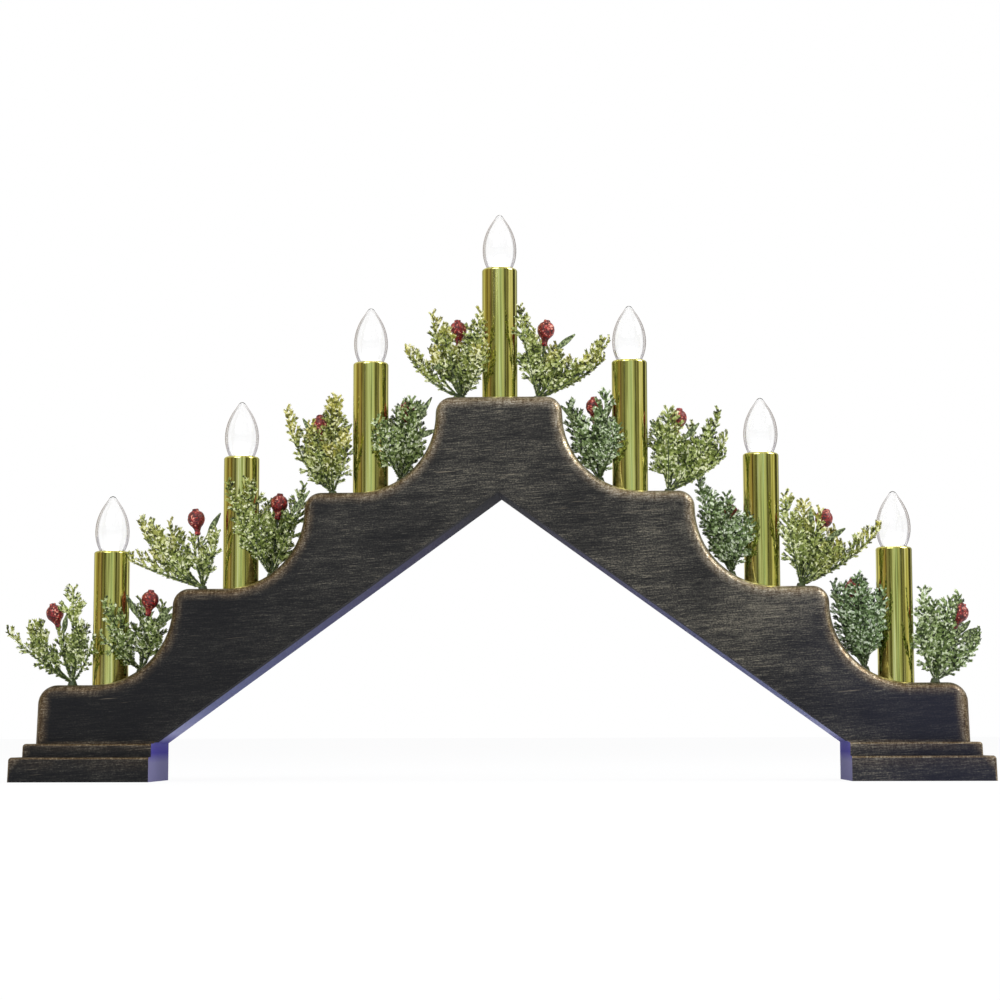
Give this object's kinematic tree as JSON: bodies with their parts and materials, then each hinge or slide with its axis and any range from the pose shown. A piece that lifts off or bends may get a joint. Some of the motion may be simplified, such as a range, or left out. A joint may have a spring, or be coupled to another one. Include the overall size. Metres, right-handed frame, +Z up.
{
  "type": "candle arch",
  "caption": "Stepped free-standing candle arch with electric candle tubes, flame bulbs and berry sprigs along its shelves, battery powered from behind.",
  "frame": {"origin": "on the table under the middle of the arch, at the centre of the base's outline", "axes": "+X along the arch to the right as seen from the front, -Y towards the viewer, +Z up"},
  "size_m": [0.4023, 0.045, 0.2388],
  "materials": {
    "painted_body": "dark painted plastic with dry-brushed bronze edges",
    "cover": "fine moulded grain",
    "metallised": "vacuum-metallised yellow-green gold",
    "clear": "clear moulded",
    "holder": "moulded",
    "lamp": "clear resin",
    "foliage": "glittered moulded foliage",
    "berry": "red glitter",
    "steel": "zinc plated",
    "switch": "moulded",
    "cell": "sleeved cell",
    "wire": "PVC insulation"
  },
  "bodies": {
    "root": {"arch_housing": "painted_body", "back_cover": "cover", "cover_screws": "steel", "switch_case": "switch", "batteries": "cell", "battery_contacts": "steel", "wiring_loom": "wire", "lamps": "lamp", "candle_tube_1": "metallised", "bulb_1": "clear", "lamp_holder_1": "holder", "candle_tube_2": "metallised", "bulb_2": "clear", "lamp_holder_2": "holder", "candle_tube_3": "metallised", "bulb_3": "clear", "lamp_holder_3": "holder", "candle_tube_4": "metallised", "bulb_4": "clear", "lamp_holder_4": "holder", "candle_tube_5": "metallised", "bulb_5": "clear", "lamp_holder_5": "holder", "candle_tube_6": "metallised", "bulb_6": "clear", "lamp_holder_6": "holder", "candle_tube_7": "metallised", "bulb_7": "clear", "lamp_holder_7": "holder", "sprig_1": "foliage", "berry_1": "berry", "sprig_2": "foliage", "berry_2": "berry", "sprig_3": "foliage", "berry_3": "berry", "sprig_4": "foliage", "berry_4": "berry", "sprig_5": "foliage", "berry_5": "berry", "sprig_6": "foliage", "berry_6": "berry", "sprig_7": "foliage", "berry_7": "berry", "sprig_8": "foliage", "berry_8": "berry", "sprig_9": "foliage", "berry_9": "berry", "sprig_10": "foliage", "berry_10": "berry", "sprig_11": "foliage", "berry_11": "berry", "sprig_12": "foliage", "berry_12": "berry", "sprig_13": "foliage", "berry_13": "berry", "sprig_14": "foliage", "berry_14": "berry"},
    "battery_door": {"battery_door": "cover"},
    "switch_knob": {"switch_knob": "switch"}
  },
  "joints": [
    {"name": "battery_door_hinge", "type": "hinge", "parent": "root", "child": "battery_door", "pos_m": [0, 0.021, 0.12415], "axis": [-1, 0, 0], "range_deg": [0, 90]},
    {"name": "switch_slide", "type": "slide", "parent": "root", "child": "switch_knob", "axis": [1, 0, 0], "range_m": [-0.004, 0]}
  ]
}
